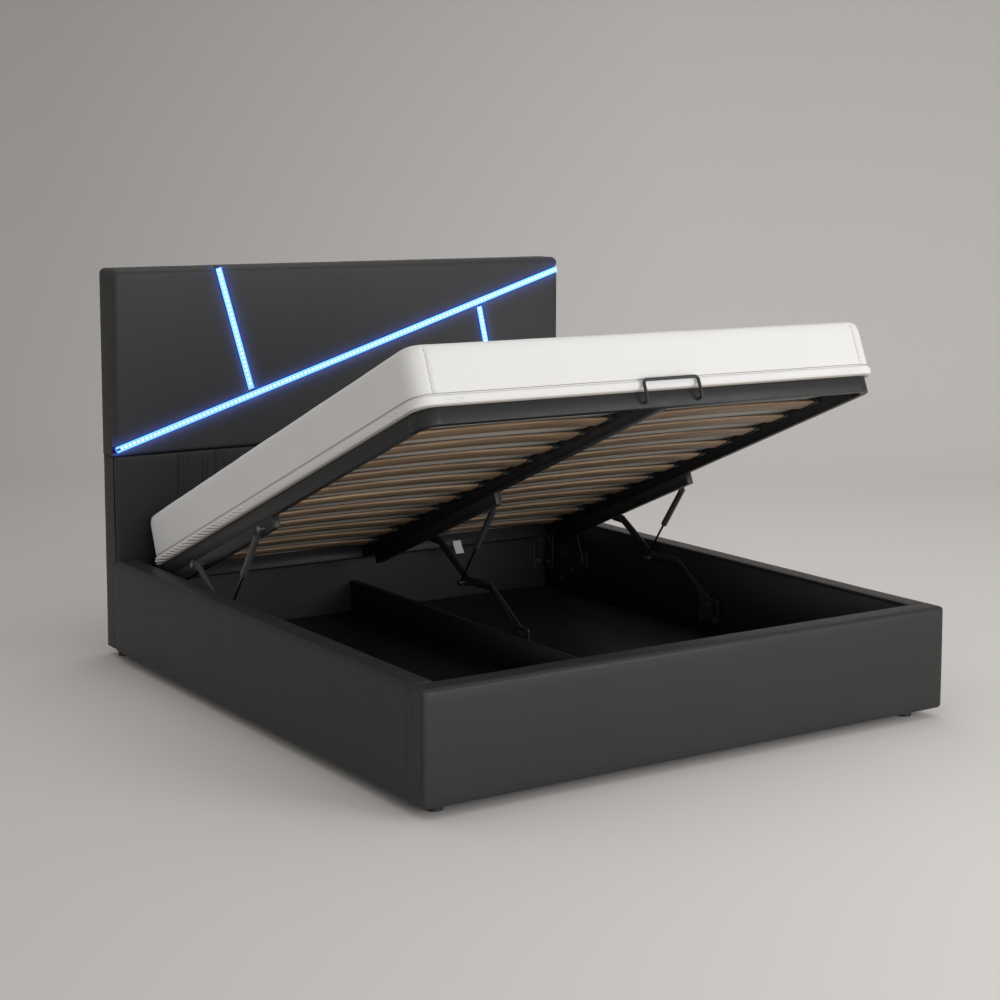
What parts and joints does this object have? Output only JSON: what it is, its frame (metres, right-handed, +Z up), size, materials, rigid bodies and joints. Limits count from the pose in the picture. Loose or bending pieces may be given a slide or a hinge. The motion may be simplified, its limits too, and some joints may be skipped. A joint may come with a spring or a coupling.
{
  "type": "upholstered storage bed",
  "caption": "Upholstered double bed with a padded headboard crossed by blue light lines, and a slatted frame with its mattress raised on gas struts over a storage box.",
  "frame": {"origin": "centre of the floor rectangle that the bed covers", "axes": "+Z up from the floor, +Y from the foot to the headboard, +X to the right as seen from the foot"},
  "size_m": [1.9, 2.224, 1.373],
  "materials": {
    "upholstery": "soft dark grey leatherette, low sheen",
    "black_board": "black laminated board",
    "raw_timber": "planed softwood",
    "slat_wood": "bowed birch plywood strips, matt lacquer",
    "frame_paint": "fine satin powder coat, near black",
    "gear_paint": "satin black",
    "strut_paint": "smooth dark grey paint",
    "strut_rod": "dark polished rod",
    "pin_steel": "dark zinc",
    "black_plastic": "moulded, matt",
    "light_channel": "anodised",
    "light_strip": "lit diffuser, blue",
    "mattress_cloth": "white knitted cover"
  },
  "bodies": {
    "root": {"left_rail_board": "black_board", "left_rail_cover": "upholstery", "right_rail_board": "black_board", "right_rail_cover": "upholstery", "foot_board": "black_board", "foot_cover": "upholstery", "centre_beam": "black_board", "box_battens": "black_board", "left_floor_panel": "black_board", "right_floor_panel": "black_board", "feet": "black_plastic", "corner_brackets": "gear_paint", "headboard_front_board": "raw_timber", "headboard_stiles": "raw_timber", "headboard_cross_rails": "raw_timber", "headboard_back_cover": "upholstery", "power_inlet": "black_plastic", "led_driver": "black_plastic", "headboard_border": "upholstery", "headboard_base_panel": "upholstery", "headboard_panel_top_left": "upholstery", "headboard_panel_top_right": "upholstery", "headboard_panel_low_left": "upholstery", "headboard_panel_low_right": "upholstery", "led_channels": "light_channel", "led_strips": "light_strip", "base_pins": "pin_steel", "left_base_bracket": "gear_paint", "right_base_bracket": "gear_paint", "centre_base_bracket": "gear_paint", "left_rear_bracket": "gear_paint", "right_rear_bracket": "gear_paint", "frame_bolts": "pin_steel"},
    "lift": {"lift_pins": "pin_steel", "frame_foot_tube": "frame_paint", "frame_left_tube": "frame_paint", "left_lift_rail": "frame_paint", "frame_right_tube": "frame_paint", "right_lift_rail": "frame_paint", "frame_head_tube": "frame_paint", "frame_centre_tube": "frame_paint", "centre_lift_rail": "frame_paint", "rail_end_caps": "black_plastic", "left_slats": "slat_wood", "right_slats": "slat_wood", "slat_holders": "black_plastic", "lift_handle": "frame_paint", "mattress": "mattress_cloth"},
    "centre_arm": {"centre_arm": "gear_paint"},
    "centre_strut_cylinder": {"centre_strut_cylinder": "strut_paint"},
    "centre_strut_rod": {"centre_strut_rod": "strut_rod"},
    "left_arm": {"left_arm": "gear_paint"},
    "left_strut_cylinder": {"left_strut_cylinder": "strut_paint"},
    "left_strut_rod": {"left_strut_rod": "strut_rod"},
    "right_arm": {"right_arm": "gear_paint"},
    "right_strut_cylinder": {"right_strut_cylinder": "strut_paint"},
    "right_strut_rod": {"right_strut_rod": "strut_rod"},
    "left_rear_link": {"left_rear_link": "gear_paint"},
    "right_rear_link": {"right_rear_link": "gear_paint"}
  },
  "joints": [
    {"name": "centre_arm_swing", "type": "hinge", "parent": "root", "child": "centre_arm", "pos_m": [0, -0.061, 0.18], "axis": [1, 0, 0], "range_deg": [-15.22, 0]},
    {"name": "left_arm_swing", "type": "hinge", "parent": "root", "child": "left_arm", "pos_m": [0, -0.061, 0.18], "axis": [1, 0, 0], "range_deg": [-15.22, 0]},
    {"name": "right_arm_swing", "type": "hinge", "parent": "root", "child": "right_arm", "pos_m": [0, -0.061, 0.18], "axis": [1, 0, 0], "range_deg": [-15.22, 0]},
    {"name": "lift_fold", "type": "hinge", "parent": "centre_arm", "child": "lift", "pos_m": [0, 0.51938, 0.41017], "axis": [1, 0, 0], "range_deg": [0, 37.45]},
    {"name": "left_strut_swing", "type": "hinge", "parent": "lift", "child": "left_strut_cylinder", "pos_m": [0, 0.05846, 0.59874], "axis": [1, 0, 0], "range_deg": [0, 17.66]},
    {"name": "left_strut_slide", "type": "slide", "parent": "left_strut_cylinder", "child": "left_strut_rod", "axis": [0, 0.5992, -0.8006], "range_m": [-0.13596, 0]},
    {"name": "centre_strut_swing", "type": "hinge", "parent": "lift", "child": "centre_strut_cylinder", "pos_m": [0, 0.05846, 0.59874], "axis": [1, 0, 0], "range_deg": [0, 17.66]},
    {"name": "centre_strut_slide", "type": "slide", "parent": "centre_strut_cylinder", "child": "centre_strut_rod", "axis": [0, 0.5992, -0.8006], "range_m": [-0.13596, 0]},
    {"name": "right_strut_swing", "type": "hinge", "parent": "lift", "child": "right_strut_cylinder", "pos_m": [0, 0.05846, 0.59874], "axis": [1, 0, 0], "range_deg": [0, 17.66]},
    {"name": "right_strut_slide", "type": "slide", "parent": "right_strut_cylinder", "child": "right_strut_rod", "axis": [0, 0.5992, -0.8006], "range_m": [-0.13596, 0]},
    {"name": "left_link_swing", "type": "hinge", "parent": "lift", "child": "left_rear_link", "pos_m": [0, 0.76742, 0.30869], "axis": [1, 0, 0], "range_deg": [-67.13, 0]},
    {"name": "right_link_swing", "type": "hinge", "parent": "lift", "child": "right_rear_link", "pos_m": [0, 0.76742, 0.30869], "axis": [1, 0, 0], "range_deg": [-67.13, 0]}
  ],
  "couplings": [
    {"joint": "left_link_swing", "follows": "lift_fold", "ratio": -1.7922},
    {"joint": "right_link_swing", "follows": "lift_fold", "ratio": -1.7922},
    {"joint": "centre_arm_swing", "follows": "lift_fold", "ratio": -0.4058},
    {"joint": "centre_strut_swing", "follows": "lift_fold", "ratio": 0.47119},
    {"joint": "centre_strut_slide", "follows": "lift_fold", "m_per_rad": -0.20774},
    {"joint": "left_arm_swing", "follows": "lift_fold", "ratio": -0.4058},
    {"joint": "left_strut_swing", "follows": "lift_fold", "ratio": 0.47119},
    {"joint": "left_strut_slide", "follows": "lift_fold", "m_per_rad": -0.20774},
    {"joint": "right_arm_swing", "follows": "lift_fold", "ratio": -0.4058},
    {"joint": "right_strut_swing", "follows": "lift_fold", "ratio": 0.47119},
    {"joint": "right_strut_slide", "follows": "lift_fold", "m_per_rad": -0.20774}
  ]
}
